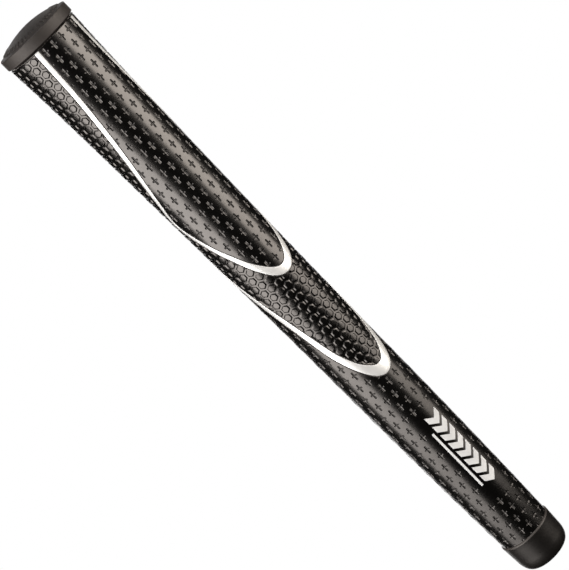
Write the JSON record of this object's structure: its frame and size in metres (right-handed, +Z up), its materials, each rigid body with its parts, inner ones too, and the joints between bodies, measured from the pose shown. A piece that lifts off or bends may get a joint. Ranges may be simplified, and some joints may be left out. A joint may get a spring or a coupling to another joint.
{
  "type": "golf grip",
  "caption": "Thick tapering golf club grip: soft textured wrap with silver bands over a foam sleeve, domed rubber butt cap and a rubber collar at the mouth.",
  "frame": {"origin": "centre of the shaft bore at the mouth face", "axes": "+Z up the bore towards the butt cap; -Y is the middle of the decorated front face; the skin's joint line is on +Y"},
  "size_m": [0.0308, 0.0308, 0.2773],
  "materials": {
    "cap_rubber": "matte moulded rubber",
    "sleeve_foam": "closed-cell foam, ground to a taper",
    "felt": "non-woven felt",
    "skin": "satin embossed soft polymer",
    "silver_paint": "satin silver-white paint fill",
    "collar_rubber": "satin moulded rubber",
    "white_print": "satin print"
  },
  "bodies": {
    "root": {"end_cap": "cap_rubber", "foam_sleeve": "sleeve_foam", "felt_backing": "felt", "outer_skin": "skin", "upper_band": "silver_paint", "lower_band": "silver_paint", "mouth_collar": "collar_rubber", "printed_chevrons": "white_print", "printed_rule": "white_print"}
  },
  "joints": []
}
